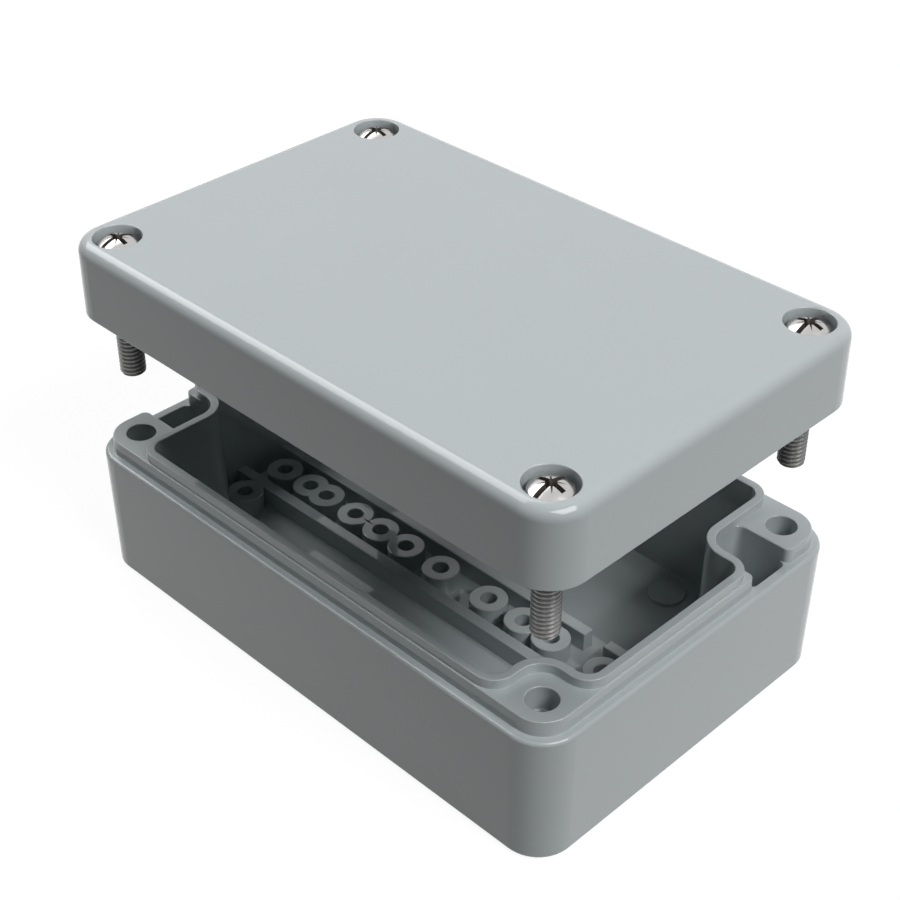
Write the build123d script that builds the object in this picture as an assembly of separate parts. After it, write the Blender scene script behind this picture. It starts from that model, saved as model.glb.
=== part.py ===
from build123d import *
import os

os.makedirs("parts", exist_ok=True)

# All sizes are in millimetres and all drafts in degrees. The base stands on z = 0 with its
# centre on the vertical axis, its long side along X and its short side along Y.

# Case outline, shared by the base and the lid
case_length = 98.0
case_width = 64.0
corner_radius = 6.15

# Base shell
ledge_height = 22.0
base_draft = 0.78
bottom_edge_chamfer = 0.5
floor_thickness = 2.2
cavity_draft = 0.84

# Plateau inside the ledge
ledge_width = 1.36
plateau_rise = 2.4
plateau_draft = 3.6
plateau_end_radius = 1.1

# Sealing rim, which bends round the four pillars
rim_inset = 1.83
rim_width = 1.37
rim_rise = 1.55
rim_bend_radius = 2.2
pillar_reach = 4.6
pillar_bend_radius = 3.6

# Wall screw pockets beside the right and left pillars
pocket_gap = 4.25
pocket_width = 8.0
pocket_corner_radius = 1.2
pocket_floor = 4.0
pocket_draft = 0.5
wall_hole_radius = 2.2

# Ribs on the floor
rib_spacing = 10.0
rib_width = 2.0
rib_top = 5.5
rib_gap = 3.6
rib_gap_from_right = 20.4

# Tubular bosses in a row, set out from the left end, the middle and the right end of the case
boss_radius = 3.1
boss_hole_radius = 1.3
boss_hole_depth = 3.8
bosses_from_left = (9.0, 15.6, 19.65, 26.9, 33.0, 39.0)
bosses_from_middle = (-2.0,)
bosses_from_right = (40.4, 33.0, 27.3, 16.9)
side_boss_from_left = 9.0
side_boss_from_rib = 2.9

# Round pad by the rear wall
pad_radius = 3.1
pad_rise = 0.55
pad_from_right = 23.7
pad_from_rear = 8.4

# Screws
screw_inset = 6.0
screw_radius = 2.0
screw_length = 20.0
head_radius = 3.0
head_edge_height = 2.3
head_dome = 1.0

# Rings under the screw heads
ring_thickness = 0.86
ring_width = 0.85

# Threaded holes in the pillars
mouth_radius = 2.31
mouth_depth = 4.0
tip_room = 1.0

# Lid and its gasket
lid_height = 12.0
lid_draft = 0.57
lid_top_edge_radius = 1.87
lid_ceiling = 2.2
lid_recess_radius = 3.675
lid_recess_depth = 4.25
lid_hole_radius = 2.3
lid_lip_width = 1.25
lid_cavity_bend_radius = 1.0
lid_core_inset = 1.7
lid_core_radius = 1.0
gasket_thickness = 1.4

# Clearances
running_clearance = 0.05
loose_clearance = 0.3
gasket_clearance = 0.05
seat_gap = 0.02

# How far the lid is held above the closed case
lid_lift = 25.35

# Heights and places that follow from the sizes
half_length = case_length / 2
half_width = case_width / 2
plateau_top = ledge_height + plateau_rise
rim_top = plateau_top + rim_rise
groove_top = rim_top + gasket_thickness
lid_top = ledge_height + lid_height
lid_underside = plateau_top + loose_clearance
recess_floor = lid_top - lid_recess_depth
ring_bottom = recess_floor + seat_gap
ring_top = ring_bottom + ring_thickness
head_bottom = ring_top + seat_gap
head_edge = head_bottom + head_edge_height
head_top = head_edge + head_dome
screw_tip = head_bottom - screw_length
bore_radius = screw_radius + running_clearance
bore_bottom = screw_tip - tip_room
screw_x = half_length - screw_inset
screw_y = half_width - screw_inset
screw_places = [(screw_x, -screw_y), (screw_x, screw_y), (-screw_x, screw_y), (-screw_x, -screw_y)]
rim_x = half_length - rim_inset
rim_y = half_width - rim_inset
pillar_x = screw_x - pillar_reach
pillar_y = screw_y - pillar_reach
pocket_far = screw_y - pocket_gap
pocket_near = pocket_far - pocket_width
pocket_centre = ((pillar_x + rim_x) / 2, (pocket_near + pocket_far) / 2)


def prism(outline, start, end, draft=0):
    """Solid of a flat outline from one height to another, narrowing on its way by the draft."""
    return extrude(Pos(0, 0, start) * outline, amount=end - start, taper=draft)


def column(place, radius, start, end):
    """Upright round bar."""
    return prism(Pos(*place) * Circle(radius), start, end)


def turned(profile):
    """Solid turned about the vertical axis from a profile of radius and height."""
    return revolve(Plane.XZ * make_face(profile.edges()), Axis.Z)


def both_ends(solid):
    """A solid and its copy half a turn round the case."""
    return [solid, solid.rotate(Axis.Z, 180)]


def case_outline(inset):
    """The case's rounded outline moved inward."""
    return RectangleRounded(case_length - 2 * inset, case_width - 2 * inset, corner_radius - inset)


def winding_outline(outward, wall_bend, pillar_bend):
    """The path of the rim's outer face moved outward: along the walls and inside the pillars."""
    wall_x = rim_x + outward
    wall_y = rim_y + outward
    inner_x = pillar_x + outward
    front_y = -pillar_y - outward
    right_y = pocket_near + outward
    half = [
        (inner_x, -wall_y),
        (inner_x, front_y),
        (wall_x, front_y),
        (wall_x, right_y),
        (inner_x, right_y),
        (inner_x, wall_y),
    ]
    points = half + [(-x, -y) for x, y in half]
    radii = [wall_bend, pillar_bend, wall_bend] * 4
    return make_face(FilletPolyline(*points, radius=radii, close=True).edges())


def rim_outline(outward):
    """The rim's outer face moved outward by the same amount everywhere, bends too."""
    return winding_outline(
        outward,
        rim_bend_radius + rim_width + outward,
        pillar_bend_radius - outward,
    )


def pocket_outline(reach):
    """The right pocket seen from above, its outer side moved out by the reach."""
    points = [
        (pillar_x, pocket_near),
        (rim_x + reach, pocket_near),
        (rim_x + reach, pocket_far),
        (pillar_x, pocket_far),
    ]
    radii = [pillar_bend_radius] + [pocket_corner_radius] * 3
    return make_face(FilletPolyline(*points, radius=radii, close=True).edges())


def base_shell():
    """Outer block of the base up to the ledge."""
    shell = prism(case_outline(0), ledge_height, 0, base_draft)
    return chamfer(shell.edges().group_by(Axis.Z)[0], bottom_edge_chamfer)


def plateau():
    """Raised step inside the ledge, open at both pockets, with rounded ends there."""
    step = prism(case_outline(ledge_width), ledge_height, plateau_top, plateau_draft)
    opening = prism(pocket_outline(rim_inset + pocket_corner_radius), ledge_height, plateau_top)
    step -= both_ends(opening)
    end_x = half_length - ledge_width
    ends = [(end_x, pocket_near), (end_x, pocket_far), (-end_x, -pocket_near), (-end_x, -pocket_far)]
    corners = [step.edges().sort_by_distance((*end, ledge_height + plateau_rise / 2))[0] for end in ends]
    return fillet(corners, plateau_end_radius)


def cavity():
    """Inside of the base, from the rim's inner edge down to the floor."""
    return prism(rim_outline(-rim_width), rim_top, floor_thickness, cavity_draft)


def wall_screw_pocket():
    """Right pocket with the hole for a wall screw."""
    pocket = prism(pocket_outline(0), ledge_height, pocket_floor, pocket_draft)
    return pocket + column(pocket_centre, wall_hole_radius, pocket_floor, 0)


def pillar_hole():
    """Threaded hole with a wider mouth."""
    mouth_bottom = plateau_top - mouth_depth
    return turned(
        Polyline(
            (0, plateau_top),
            (mouth_radius, plateau_top),
            (mouth_radius, mouth_bottom),
            (bore_radius, mouth_bottom),
            (bore_radius, bore_bottom),
            (0, bore_bottom),
            close=True,
        )
    )


def ribs():
    """Two ribs from end to end of the floor, each with one gap."""
    rib = Pos(0, rib_spacing / 2) * Rectangle(2 * rim_x, rib_width)
    gap_x = half_length - rib_gap_from_right - rib_gap / 2
    rib -= Pos(gap_x, rib_spacing / 2) * Rectangle(rib_gap, rib_width)
    bars = prism(rib, floor_thickness, rib_top)
    return bars + mirror(bars, Plane.XZ)


def boss_places():
    """Centres of the floor bosses: the row between the ribs and the one in front of them."""
    row = [place - half_length for place in bosses_from_left]
    row += bosses_from_middle
    row += [half_length - place for place in bosses_from_right]
    side_y = -(rib_spacing + rib_width) / 2 - side_boss_from_rib
    return [(x, 0) for x in row] + [(side_boss_from_left - half_length, side_y)]


def make_base():
    base = base_shell() + plateau() + prism(rim_outline(0), ledge_height, rim_top)
    base -= cavity()
    base -= both_ends(wall_screw_pocket())
    base -= [Pos(*place) * pillar_hole() for place in screw_places]
    base += ribs()
    base += [column(place, boss_radius, floor_thickness, rib_top) for place in boss_places()]
    base -= [column(place, boss_hole_radius, rib_top, rib_top - boss_hole_depth) for place in boss_places()]
    pad_place = (half_length - pad_from_right, half_width - pad_from_rear)
    return base + column(pad_place, pad_radius, floor_thickness, floor_thickness + pad_rise)


def groove():
    """Groove in the lid for the rim and the gasket."""
    outline = rim_outline(loose_clearance) - rim_outline(-rim_width - loose_clearance)
    return prism(outline, lid_underside, groove_top)


def lid_cavity():
    """Inside of the lid within the groove's inner lip."""
    depth = rim_width + loose_clearance + lid_lip_width
    outline = winding_outline(-depth, lid_cavity_bend_radius, pillar_bend_radius + depth)
    return prism(outline, lid_underside, lid_top - lid_ceiling)


def lid_core():
    """Hollow above the right pocket."""
    length = rim_x - pillar_x - 2 * lid_core_inset
    width = pocket_width - 2 * lid_core_inset
    outline = Pos(*pocket_centre) * RectangleRounded(length, width, lid_core_radius)
    return prism(outline, lid_underside, lid_top - lid_ceiling)


def lid_hole():
    """Recess for a screw head with the screw's clearance hole."""
    return turned(
        Polyline(
            (0, lid_top),
            (lid_recess_radius, lid_top),
            (lid_recess_radius, recess_floor),
            (lid_hole_radius, recess_floor),
            (lid_hole_radius, lid_underside),
            (0, lid_underside),
            close=True,
        )
    )


def make_lid():
    lid = prism(case_outline(0), ledge_height, lid_top, lid_draft)
    lid = fillet(lid.edges().group_by(Axis.Z)[-1], lid_top_edge_radius)
    lid -= prism(case_outline(ledge_width - loose_clearance), ledge_height, lid_underside)
    lid -= groove()
    lid -= lid_cavity()
    lid -= both_ends(lid_core())
    return lid - [Pos(*place) * lid_hole() for place in screw_places]


def make_gasket():
    side = loose_clearance - gasket_clearance
    return prism(rim_outline(side) - rim_outline(-rim_width - side), rim_top, groove_top)


def make_screw():
    profile = Polyline(
        (0, head_top),
        (0, screw_tip),
        (screw_radius, screw_tip),
        (screw_radius, head_bottom),
        (head_radius, head_bottom),
        (head_radius, head_edge),
    )
    profile += TangentArc((0, head_top), (head_radius, head_edge), tangent=(1, 0))
    return turned(profile)


def make_ring():
    outline = Circle(bore_radius + ring_width) - Circle(bore_radius)
    return prism(outline, ring_bottom, ring_top)


pieces = {
    "base_housing": make_base(),
    "lid": Pos(0, 0, lid_lift) * make_lid(),
    "gasket": Pos(0, 0, lid_lift) * make_gasket(),
}
for number, place in enumerate(screw_places, start=1):
    pieces[f"lid_screw_{number}"] = Pos(*place, lid_lift) * make_screw()
    pieces[f"screw_ring_{number}"] = Pos(*place, lid_lift) * make_ring()

for name, piece in pieces.items():
    export_step(piece, f"parts/{name}.step")
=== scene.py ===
import bmesh
import bpy
import math
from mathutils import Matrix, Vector
from mathutils.geometry import intersect_point_line


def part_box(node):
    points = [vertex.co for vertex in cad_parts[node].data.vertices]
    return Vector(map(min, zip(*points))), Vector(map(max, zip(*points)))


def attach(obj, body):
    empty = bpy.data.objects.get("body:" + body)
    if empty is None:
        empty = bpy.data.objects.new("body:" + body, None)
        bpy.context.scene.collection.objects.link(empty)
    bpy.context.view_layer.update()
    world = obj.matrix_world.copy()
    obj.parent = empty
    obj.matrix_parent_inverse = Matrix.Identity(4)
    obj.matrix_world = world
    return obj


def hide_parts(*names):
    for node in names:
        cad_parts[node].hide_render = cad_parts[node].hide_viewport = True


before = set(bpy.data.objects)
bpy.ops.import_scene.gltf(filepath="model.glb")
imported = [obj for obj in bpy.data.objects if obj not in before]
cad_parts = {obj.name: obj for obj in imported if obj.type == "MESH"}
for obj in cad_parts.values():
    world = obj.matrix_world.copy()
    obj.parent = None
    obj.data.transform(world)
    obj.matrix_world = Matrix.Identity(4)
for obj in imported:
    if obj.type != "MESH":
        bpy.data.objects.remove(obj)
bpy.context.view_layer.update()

# All sizes are in metres and all angles in degrees, in the frame of the CAD model
mm = 0.001

# Camera, fitted to straight edges and screw centres in the photograph
camera_place = (0.151996, -0.151921, 0.181389)
camera_azimuth = -45
camera_elevation = 35.264
camera_lens = 69.73

# Lamps, all level panels that shine downward: middle, sizes along X and Y, power in watts.
# The first ones light the object, and gloss shows the larger others, which hang a little lower
lamps = {
    "key": ((1.0, 0.0, 1.05), (0.62, 0.62), 18.3),
    "fill": ((-0.80, 0.18, 1.05), (0.6, 0.7), 5.2),
    "above": ((0.0, 0.0, 1.05), (0.5, 0.5), 2.9),
}
gloss_panels = {
    "right_panel": ((0.93, -0.06, 1.0), (0.96, 0.92), 17.0),
    "left_panel": ((-1.06, 0.07, 1.0), (1.26, 1.02), 14.0),
}

# World and floor. The floor lies just under the object so that the two surfaces don't share a plane
white = (1, 1, 1)
world_light = 0.01
floor_size = 1.8
floor_gap = 0.05 * mm
floor_colour = (0.12, 0.12, 0.12)
floor_glow = 0.92

# Paint on the castings. Its colour is mottled between a darker and a lighter share of itself
paint_colour = (0.448, 0.492, 0.504)
paint_darkest_share = 0.975
paint_lightest_share = 1.02
paint_roughness = (0.47, 0.53)
paint_specular = 0.1
mottle_scale = 60
roughness_scale = 220

# Clear coat of the paint, with its orange peel
coat_roughness = 0.03
coat_ior = 1.5
peel_scale = 1500
peel_depth = 0.0015 * mm
coat_peel_depth = 0.0003 * mm

# Lighter edges of the paint, partly rubbed wear and partly painted highlight, found by how alike the
# surface's normal and a rounded one are, at most 1
worn_and_highlight_colour = (0.56, 0.59, 0.60)
wear_and_highlight_radius = 0.3 * mm
wear_and_highlight_samples = 6
alike_without_edge_mark = 0.99
alike_with_full_edge_mark = 0.8
edge_mark_scale = 700

# The colour sockets of a Mix node, by their places
mix_first = 6
mix_second = 7
mix_result = 2

# Rounding of the castings' sharp outer edges. The ledge's rim is rounder than the others, and these
# stay sharp where a hollow edge is nearer than the room needed
edge_angle = 35
edge_rounding = 0.18 * mm
edge_steps = 2
room_needed = 0.2 * mm
ledge_rounding = 0.62 * mm
ledge_steps = 4
ledge_height = 22.0 * mm
corner_radius = 6.15 * mm
same_place = 0.05 * mm
weld_distance = same_place / 1000

# Threads of the screws, M4. The crest and the two flanks are shares of the pitch
pitch = 0.7 * mm
thread_radius = 2.0 * mm
thread_depth = 0.4 * mm
thread_crest = 0.2
thread_flanks = 0.72
thread_rows_per_turn = 10
thread_segments = 60
tip_radius = 1.72 * mm
thread_into_head = 0.2 * mm

# Raised heads of the screws
head_radius = 3.0 * mm
head_edge_height = 2.3 * mm
head_dome = 1.0 * mm
head_rounding = 0.18 * mm
head_segments = 96
dome_steps = 14
screw_crease = 35

# Drive recess: a slot across the head, a shorter slot that crosses it, a funnel and four ticks
slot_width = 0.74 * mm
slot_depth = 1.6 * mm
cross_reach = 2.05 * mm
cross_extra = 0.1 * mm
funnel_radius = 0.78 * mm
funnel_bottom_radius = 0.4 * mm
funnel_extra = 0.4 * mm
funnel_tip = 0.1 * mm
funnel_segments = 24
tick_depth = 0.36 * mm
tick_width = 0.34 * mm
tick_bottom = 0.01 * mm
tick_angles = (45, 135)
cutter_above_head = 0.5 * mm
cutter_past_head = 1.0 * mm

# Rings under the screw heads
ring_inner_radius = 2.05 * mm
ring_outer_radius = 2.9 * mm
ring_rounding = 0.3 * mm
ring_segments = 64
ring_crease = 40

# Points on a rounded edge of a head or a ring
arc_steps = 5


# Small helpers for node trees

def new_material(name):
    """Material with an empty node tree, and that tree."""
    material = bpy.data.materials.new(name)
    material.use_nodes = True
    tree = material.node_tree
    tree.nodes.clear()
    return material, tree


def node(tree, kind, inputs=None, **settings):
    """New node with its settings and with values or links for its inputs."""
    made = tree.nodes.new(kind)
    for name, value in settings.items():
        setattr(made, name, value)
    for name, value in (inputs or {}).items():
        if isinstance(value, bpy.types.NodeSocket):
            tree.links.new(value, made.inputs[name])
        else:
            made.inputs[name].default_value = value
    return made


def rgba(colour):
    """Opaque colour."""
    return (*colour, 1)


def combined(tree, operation, first, second, **settings):
    """Sum or product of two values."""
    inputs = {0: first, 1: second}
    return node(tree, "ShaderNodeMath", inputs, operation=operation, **settings).outputs["Value"]


def noise(tree, scale, detail=3):
    """Noise through the piece's own space."""
    place = node(tree, "ShaderNodeTexCoord").outputs["Object"]
    inputs = {"Vector": place, "Scale": scale, "Detail": detail}
    return node(tree, "ShaderNodeTexNoise", inputs).outputs["Fac"]


def ranged(tree, value, low, high, from_low=0.0, from_high=1.0):
    """The value moved from one range to another."""
    inputs = {"Value": value, "From Min": from_low, "From Max": from_high, "To Min": low, "To Max": high}
    return node(tree, "ShaderNodeMapRange", inputs).outputs["Result"]


def mixed(tree, factor, first, second):
    """Colour between two colours."""
    inputs = {"Factor": factor, mix_first: first, mix_second: second}
    return node(tree, "ShaderNodeMix", inputs, data_type="RGBA").outputs[mix_result]


def bumped(tree, height, depth):
    """Normal that follows a height of the given depth."""
    inputs = {"Height": height, "Distance": depth, "Strength": 1.0}
    return node(tree, "ShaderNodeBump", inputs).outputs["Normal"]


def edge_wear_and_highlight(tree):
    """How much an edge is lightened by wear and painted highlight, from 0 away from it to 1."""
    rounded = node(tree, "ShaderNodeBevel", {"Radius": wear_and_highlight_radius}, samples=wear_and_highlight_samples).outputs["Normal"]
    own = node(tree, "ShaderNodeNewGeometry").outputs["Normal"]
    inputs = {0: rounded, 1: own}
    alike = node(tree, "ShaderNodeVectorMath", inputs, operation="DOT_PRODUCT").outputs["Value"]
    return ranged(tree, alike, 1.0, 0.0, alike_with_full_edge_mark, alike_without_edge_mark)


def set_surface(tree, shader, output="ShaderNodeOutputMaterial"):
    """Make a shader the surface of the material or the world."""
    node(tree, output, {"Surface": shader.outputs[0]})


# Materials

def paint_material():
    """Light grey powder coat: faint mottling, orange peel, and lighter edges that are partly wear and
    partly painted highlight.
    """
    material, tree = new_material("paint")
    edge_mark = edge_wear_and_highlight(tree)
    darkest = rgba([paint_darkest_share * part for part in paint_colour])
    lightest = rgba([paint_lightest_share * part for part in paint_colour])
    unmarked_paint = mixed(tree, noise(tree, mottle_scale, detail=4), darkest, lightest)
    edge_mark_breakup = combined(tree, "MULTIPLY", edge_mark, noise(tree, edge_mark_scale))
    peel = noise(tree, peel_scale, detail=2)
    set_surface(tree, node(tree, "ShaderNodeBsdfPrincipled", {
        # Edges are mixed towards a paler colour: partly rubbed wear, partly painted highlight
        "Base Color": mixed(tree, edge_mark_breakup, unmarked_paint, rgba(worn_and_highlight_colour)),
        "Roughness": ranged(tree, noise(tree, roughness_scale), *paint_roughness),
        "Normal": bumped(tree, peel, peel_depth),
        "Specular IOR Level": paint_specular,
        "Coat Weight": 1.0,
        "Coat Roughness": coat_roughness,
        "Coat IOR": coat_ior,
        "Coat Normal": bumped(tree, peel, coat_peel_depth),
    }))
    return material


def grained_material(
    name, dark, light, shade_scale, grain_scale, grain_depth, roughness, metallic=0.0, detail=3,
):
    """Material with a shade that varies, and a grain in its roughness and its bump."""
    material, tree = new_material(name)
    shade = noise(tree, shade_scale, detail)
    grain = noise(tree, grain_scale, detail)
    set_surface(tree, node(tree, "ShaderNodeBsdfPrincipled", {
        "Base Color": mixed(tree, shade, rgba(dark), rgba(light)),
        "Metallic": metallic,
        "Roughness": ranged(tree, grain, *roughness),
        "Normal": bumped(tree, grain, grain_depth),
    }))
    return material


def steel_material():
    """Bright rolled steel of the heads, with fine marks."""
    return grained_material(
        "bright_steel",
        dark=(0.48, 0.472, 0.46),
        light=(0.58, 0.572, 0.56),
        shade_scale=500,
        grain_scale=2600,
        grain_depth=0.0008 * mm,
        roughness=(0.16, 0.26),
        metallic=1.0,
    )


def thread_material():
    """Darker and duller steel of the threads."""
    return grained_material(
        "thread_steel",
        dark=(0.15, 0.15, 0.148),
        light=(0.24, 0.24, 0.236),
        shade_scale=2200,
        grain_scale=2200,
        grain_depth=0.002 * mm,
        roughness=(0.45, 0.6),
        metallic=1.0,
        detail=4,
    )


def recess_material():
    """Steel inside the drive recess, darker than the heads' steel as painted shade."""
    return grained_material(
        "recess_steel",
        dark=(0.13, 0.115, 0.105),
        light=(0.21, 0.19, 0.175),
        shade_scale=3000,
        grain_scale=3000,
        grain_depth=0.003 * mm,
        roughness=(0.4, 0.6),
        metallic=0.7,
    )


def rubber_material():
    """Matt black rubber of the gasket and the rings."""
    return grained_material(
        "rubber",
        dark=(0.018, 0.018, 0.019),
        light=(0.032, 0.032, 0.033),
        shade_scale=150,
        grain_scale=2400,
        grain_depth=0.006 * mm,
        roughness=(0.55, 0.75),
    )


# Meshes

def add_object(name, data, place=(0, 0, 0)):
    """New object in the scene for a mesh, a lamp or a camera."""
    made = bpy.data.objects.new(name, data)
    made.location = place
    bpy.context.scene.collection.objects.link(made)
    return made


def add_mesh(name, mesh_maker, place=(0, 0, 0)):
    """New mesh object from a function that fills a bmesh."""
    work = bmesh.new()
    mesh_maker(work)
    bmesh.ops.recalc_face_normals(work, faces=work.faces)
    mesh = bpy.data.meshes.new(name)
    work.to_mesh(mesh)
    work.free()
    return add_object(name, mesh, place)


def turned_point(radius, angle, height):
    """Point at an angle in radians round the vertical axis."""
    return (radius * math.cos(angle), radius * math.sin(angle), height)


def join_rings(work, rings, closed=False):
    """Faces from each ring of vertices to the next, and from the last to the first if closed."""
    pairs = list(zip(rings, rings[1:]))
    if closed:
        pairs.append((rings[-1], rings[0]))
    for lower, upper in pairs:
        for step in range(len(lower)):
            after = (step + 1) % len(lower)
            corners = [lower[step], lower[after], upper[after], upper[step]]
            work.faces.new(list(dict.fromkeys(corners)))


def lathe(work, profile, segments, closed=False):
    """Surface round the vertical axis through points of radius and height; radius 0 is a pole."""
    angles = [math.tau * step / segments for step in range(segments)]
    rings = []
    for radius, height in profile:
        if radius == 0:
            rings.append([work.verts.new((0, 0, height))] * segments)
        else:
            rings.append([work.verts.new(turned_point(radius, angle, height)) for angle in angles])
    join_rings(work, rings, closed)


def arc(centre, radius, start, end, steps=arc_steps):
    """Points on an arc from one angle to another."""
    points = []
    for step in range(steps + 1):
        angle = math.radians(start + (end - start) * step / steps)
        points.append((centre[0] + radius * math.cos(angle), centre[1] + radius * math.sin(angle)))
    return points


def smooth(piece, angle):
    """Smooth shading with sharp edges above the angle."""
    piece.data.shade_smooth()
    piece.data.set_sharp_from_angle(angle=math.radians(angle))


# Screws

def thread_groove(turn):
    """Depth of the thread's groove, from 0 on the crest to 1 at the root, at a share of one turn."""
    away = abs(2 * (turn % 1) - 1)
    share = min(max((away - thread_crest) / thread_flanks, 0), 1)
    return share * share * (3 - 2 * share)


def thread_mesh(work, bottom, top):
    """Helical thread from the chamfered tip up into the head."""
    rows = round((top - bottom) / pitch * thread_rows_per_turn)
    rings = []
    for row in range(rows + 1):
        height = bottom + (top - bottom) * row / rows
        ring = []
        for step in range(thread_segments):
            share = step / thread_segments
            radius = thread_radius - thread_depth * thread_groove(height / pitch - share)
            radius = min(radius, tip_radius + height - bottom)
            ring.append(work.verts.new(turned_point(radius, math.tau * share, height)))
        rings.append(ring)
    join_rings(work, rings)
    work.faces.new(list(reversed(rings[0])))
    work.faces.new(rings[-1])


def head_mesh(work, bottom):
    """Raised screw head with rounded edges."""
    edge = bottom + head_edge_height
    dome_radius = (head_radius ** 2 + head_dome ** 2) / (2 * head_dome)
    centre = edge + head_dome - dome_radius
    inner = head_radius - head_rounding
    reach = math.degrees(math.acos(inner / dome_radius))
    shoulder = centre + dome_radius * math.sin(math.radians(reach)) - head_rounding
    profile = [(0, bottom)]
    profile += arc((inner, bottom + head_rounding), head_rounding, -90, 0)
    profile += arc((inner, shoulder), head_rounding, 0, reach)
    profile += arc((0, centre), dome_radius, reach, 90, dome_steps)[1:-1]
    profile.append((0, edge + head_dome))
    lathe(work, profile, head_segments)


def block_mesh(work, reach_x, reach_y, low, high, bottom_reach_y=None):
    """Upright block round the axis, as a wedge if its bottom is narrower."""
    corners = []
    narrow = reach_y if bottom_reach_y is None else bottom_reach_y
    for height, half_y in ((low, narrow), (high, reach_y)):
        for x, y in ((-1, -1), (1, -1), (1, 1), (-1, 1)):
            corners.append(work.verts.new((x * reach_x, y * half_y, height)))
    faces = [(0, 3, 2, 1), (4, 5, 6, 7)]
    faces += [(side, (side + 1) % 4, (side + 1) % 4 + 4, side + 4) for side in range(4)]
    for face in faces:
        work.faces.new([corners[index] for index in face])


def recess_cutters(top):
    """The blocks and the funnel that cut the drive recess."""
    over = top + cutter_above_head
    past = head_radius + cutter_past_head
    slot_floor = top - slot_depth
    cross_floor = slot_floor - cross_extra
    funnel_floor = slot_floor - funnel_extra
    half_width = slot_width / 2
    funnel_profile = [
        (0, funnel_floor - funnel_tip),
        (funnel_bottom_radius, funnel_floor),
        (funnel_radius, top),
        (funnel_radius, over),
        (0, over),
    ]
    cutters = [
        add_mesh("slot", lambda work: block_mesh(work, half_width, past, slot_floor, over)),
        add_mesh("cross", lambda work: block_mesh(work, cross_reach, half_width, cross_floor, over)),
        add_mesh("funnel", lambda work: lathe(work, funnel_profile, funnel_segments)),
    ]
    tick_floor = top - tick_depth
    spread = tick_width / 2 * (over - top + tick_depth) / tick_depth
    for angle in tick_angles:
        tick = add_mesh("tick", lambda work: block_mesh(work, past, spread, tick_floor, over, tick_bottom))
        tick.rotation_euler = (0, 0, math.radians(angle))
        cutters.append(tick)
    return cutters


def cut_away(target, cutters, material):
    """Boolean difference with each cutter in turn; the cut faces get the cutter's material."""
    for cutter in cutters:
        cutter.data.materials.append(material)
        modifier = target.modifiers.new("cut", "BOOLEAN")
        modifier.operation = "DIFFERENCE"
        modifier.solver = "EXACT"
        modifier.material_mode = "TRANSFER"
        modifier.object = cutter
    bpy.context.view_layer.update()
    shape = target.evaluated_get(bpy.context.evaluated_depsgraph_get())
    result = bpy.data.meshes.new_from_object(shape)
    target.modifiers.clear()
    target.data = result
    for cutter in cutters:
        bpy.data.objects.remove(cutter)


def joined(first, second):
    """One mesh object from two."""
    work = bmesh.new()
    work.from_mesh(first.data)
    first_faces = len(work.faces)
    work.from_mesh(second.data)
    work.faces.ensure_lookup_table()
    first_materials = len(first.data.materials)
    for face in work.faces[first_faces:]:
        face.material_index += first_materials
    work.to_mesh(first.data)
    work.free()
    for material in second.data.materials:
        first.data.materials.append(material)
    bpy.data.objects.remove(second)
    return first


def make_screw(name, bottom, top, place, materials):
    """Complete screw: head with its recess, and thread."""
    head_bottom = top - head_edge_height - head_dome
    thread_top = head_bottom + thread_into_head
    head = add_mesh(name, lambda work: head_mesh(work, head_bottom))
    head.data.materials.append(materials["steel"])
    # The recess faces get the darker steel, which is painted shade
    cut_away(head, recess_cutters(top), materials["recess"])
    thread = add_mesh(name + "_thread", lambda work: thread_mesh(work, bottom, thread_top))
    thread.data.materials.append(materials["thread"])
    screw = joined(head, thread)
    smooth(screw, screw_crease)
    screw.location = place
    return screw


# Rings

def make_ring(name, bottom, top, place, material):
    """Ring with rounded edges."""
    inner = ring_inner_radius + ring_rounding
    outer = ring_outer_radius - ring_rounding
    profile = arc((outer, bottom + ring_rounding), ring_rounding, -90, 0)
    profile += arc((outer, top - ring_rounding), ring_rounding, 0, 90)
    profile += arc((inner, top - ring_rounding), ring_rounding, 90, 180)
    profile += arc((inner, bottom + ring_rounding), ring_rounding, 180, 270)
    ring = add_mesh(name, lambda work: lathe(work, profile, ring_segments, closed=True), place)
    ring.data.materials.append(material)
    smooth(ring, ring_crease)
    return ring


# Castings

def keep_normals(work, mesh):
    """Layer with the CAD surface's own normal at each corner of each face."""
    layer = work.loops.layers.float_vector.new("cad_normal")
    corners = iter(mesh.corner_normals)
    for face in work.faces:
        for loop in face.loops:
            loop[layer] = next(corners).vector
    return layer


def weld(work):
    """Join the vertices that lie in one place, which also takes out faces of no area."""
    bmesh.ops.remove_doubles(work, verts=work.verts, dist=weld_distance)


def on_outline(place, half_size):
    """Whether a place lies on the rounded rectangle that the casting fills."""
    across = max(abs(place.x) - half_size.x + corner_radius, 0)
    along = max(abs(place.y) - half_size.y + corner_radius, 0)
    return abs(math.hypot(across, along) - corner_radius) < same_place


def is_ledge(edge, half_size):
    """Whether an edge is part of the ledge's rim."""
    places = [vert.co for vert in edge.verts]
    level = all(abs(place.z - ledge_height) < same_place for place in places)
    return level and all(on_outline(place, half_size) for place in places)


def turn_angle(edge):
    """Angle between the faces at an edge: above 0 where the surface turns outward."""
    return math.degrees(edge.calc_face_angle_signed())


def has_room(edge, hollow):
    """Whether the middle of an edge is clear of the hollow edges, so that it can be rounded."""
    middle = (edge.verts[0].co + edge.verts[1].co) / 2
    for other in hollow:
        start, end = (vert.co for vert in other.verts)
        share = intersect_point_line(middle, start, end)[1]
        nearest = start.lerp(end, min(max(share, 0), 1))
        if (middle - nearest).length < room_needed:
            return False
    return True


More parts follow.
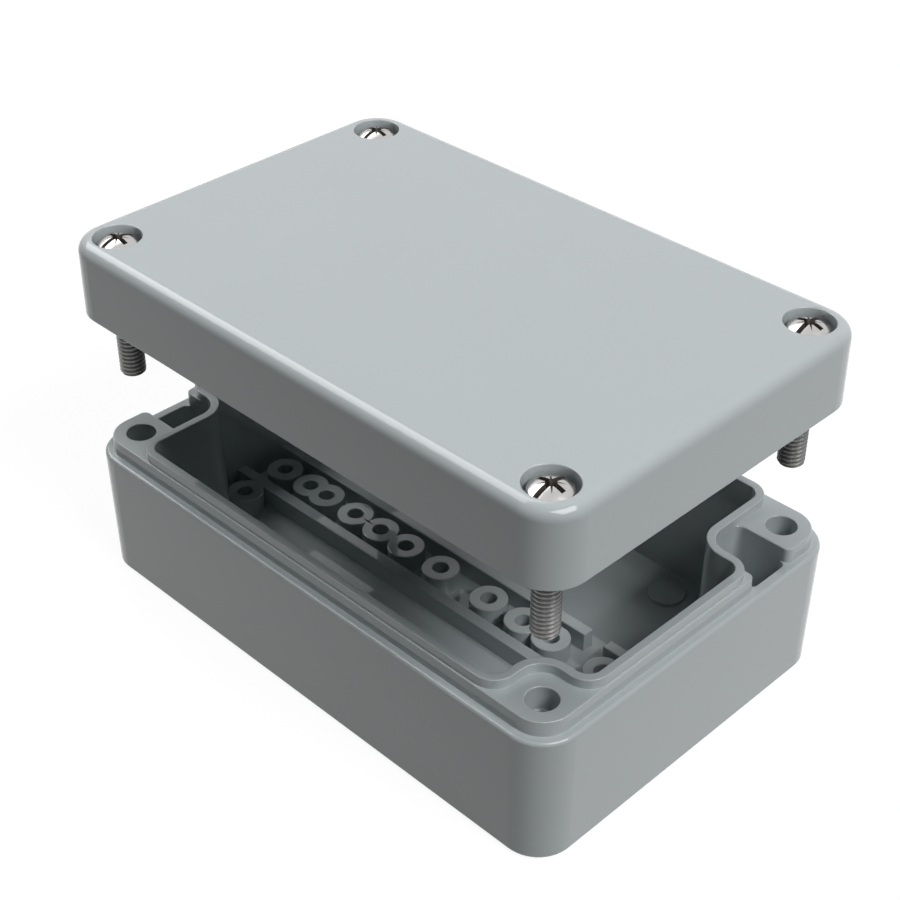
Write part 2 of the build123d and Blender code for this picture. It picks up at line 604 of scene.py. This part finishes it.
def round_edges(work, edges, radius, steps, rounded):
    """Bevel the edges and add the new faces to the rounded ones."""
    result = bmesh.ops.bevel(
        work, geom=edges, offset=radius, segments=steps, profile=0.5, affect="EDGES",
        clamp_overlap=False, loop_slide=False,
    )
    rounded.update(result["faces"])


def turn_normals(work, layer, rounded):
    """Give each corner within the rounded edges the mean normal of the faces that meet there."""
    for face in work.faces:
        for loop in face.loops:
            around = loop.vert.link_loops
            if all(other.face in rounded for other in around):
                loop[layer] = sum((other.face.normal for other in around), Vector()).normalized()


def rounded_copy(name, source, material):
    """Copy of a casting with its sharp outer edges rounded."""
    work = bmesh.new()
    work.from_mesh(source.data)
    layer = keep_normals(work, source.data)
    weld(work)
    reach_x = max(abs(vert.co.x) for vert in work.verts)
    reach_y = max(abs(vert.co.y) for vert in work.verts)
    half_size = Vector((reach_x, reach_y))
    sharp = [edge for edge in work.edges if turn_angle(edge) > edge_angle]
    hollow = [edge for edge in work.edges if turn_angle(edge) < -edge_angle]
    ledge = [edge for edge in sharp if is_ledge(edge, half_size)]
    others = [edge for edge in sharp if not is_ledge(edge, half_size) and has_room(edge, hollow)]
    rounded = set()
    round_edges(work, ledge, ledge_rounding, ledge_steps, rounded)
    round_edges(work, others, edge_rounding, edge_steps, rounded)
    turn_normals(work, layer, rounded)
    weld(work)
    for face in work.faces:
        face.smooth = True
    normals = [loop[layer].normalized() for face in work.faces for loop in face.loops]
    mesh = bpy.data.meshes.new(name)
    work.to_mesh(mesh)
    work.free()
    mesh.normals_split_custom_set(normals)
    mesh.materials.append(material)
    return add_object(name, mesh)


# Stage

def make_lamp(name, middle, size, power, for_gloss):
    """Level rectangular panel that shines downward, either for light or for gloss."""
    lamp = bpy.data.lights.new(name, "AREA")
    lamp.shape = "RECTANGLE"
    lamp.size, lamp.size_y = size
    lamp.energy = power
    made = add_object(name, lamp, middle)
    made.visible_glossy = for_gloss
    made.visible_diffuse = not for_gloss


def seen_directly(tree):
    """1 for what the camera, a gloss or glass sees, and 0 for light that falls on things."""
    path = node(tree, "ShaderNodeLightPath").outputs
    seen = combined(tree, "ADD", path["Is Camera Ray"], path["Is Glossy Ray"])
    return combined(tree, "ADD", seen, path["Is Transmission Ray"], use_clamp=True)


def make_world():
    """White to look at, and almost dark as a light."""
    world = bpy.data.worlds.new("world")
    world.use_nodes = True
    tree = world.node_tree
    tree.nodes.clear()
    strength = ranged(tree, seen_directly(tree), world_light, 1.0)
    background = node(tree, "ShaderNodeBackground", {"Color": rgba(white), "Strength": strength})
    set_surface(tree, background, "ShaderNodeOutputWorld")
    bpy.context.scene.world = world


def floor_mesh(work):
    """One square face."""
    bmesh.ops.create_grid(work, x_segments=1, y_segments=1, size=floor_size / 2)


def make_floor():
    """Pale floor that keeps the object's shadow."""
    material, tree = new_material("floor")
    matt = node(tree, "ShaderNodeBsdfDiffuse", {"Color": rgba(floor_colour)})
    strength = ranged(tree, seen_directly(tree), 0.0, floor_glow)
    glow = node(tree, "ShaderNodeEmission", {"Color": rgba(white), "Strength": strength})
    set_surface(tree, node(tree, "ShaderNodeAddShader", {0: matt.outputs[0], 1: glow.outputs[0]}))
    floor = add_mesh("floor", floor_mesh, (0, 0, -floor_gap))
    floor.data.materials.append(material)


def make_camera():
    """Camera at the photograph's place and angle."""
    azimuth = math.radians(camera_azimuth)
    elevation = math.radians(camera_elevation)
    back = Vector((
        math.cos(azimuth) * math.cos(elevation),
        math.sin(azimuth) * math.cos(elevation),
        math.sin(elevation),
    ))
    camera = bpy.data.cameras.new("camera")
    camera.lens = camera_lens
    made = add_object("camera", camera, camera_place)
    made.rotation_euler = (-back).to_track_quat("-Z", "Y").to_euler()
    bpy.context.scene.camera = made


make_camera()
make_world()
make_floor()
for name, settings in lamps.items():
    make_lamp(name, *settings, for_gloss=False)
for name, settings in gloss_panels.items():
    make_lamp(name, *settings, for_gloss=True)
bpy.context.scene.view_settings.view_transform = "Standard"

materials = {
    "paint": paint_material(),
    "steel": steel_material(),
    "thread": thread_material(),
    "recess": recess_material(),
    "rubber": rubber_material(),
}

# The castings are replaced by copies with rounded edges
for node_name, body in (("base_housing", "base"), ("lid", "lid")):
    casting = rounded_copy(f"painted_{body}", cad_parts[node_name], materials["paint"])
    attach(casting, body)
    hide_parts(node_name)

# The gasket keeps its CAD shape
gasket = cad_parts["gasket"].data
gasket.materials.clear()
gasket.materials.append(materials["rubber"])

# The screws and their rings are replaced by detailed ones
for number in (1, 2, 3, 4):
    low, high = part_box(f"lid_screw_{number}")
    place = ((low.x + high.x) / 2, (low.y + high.y) / 2, 0)
    screw = make_screw(f"screw_{number}", low.z, high.z, place, materials)
    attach(screw, f"screw_{number}")
    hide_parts(f"lid_screw_{number}")
    low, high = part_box(f"screw_ring_{number}")
    ring = make_ring(f"ring_{number}", low.z, high.z, place, materials["rubber"])
    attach(ring, f"ring_{number}")
    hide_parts(f"screw_ring_{number}")
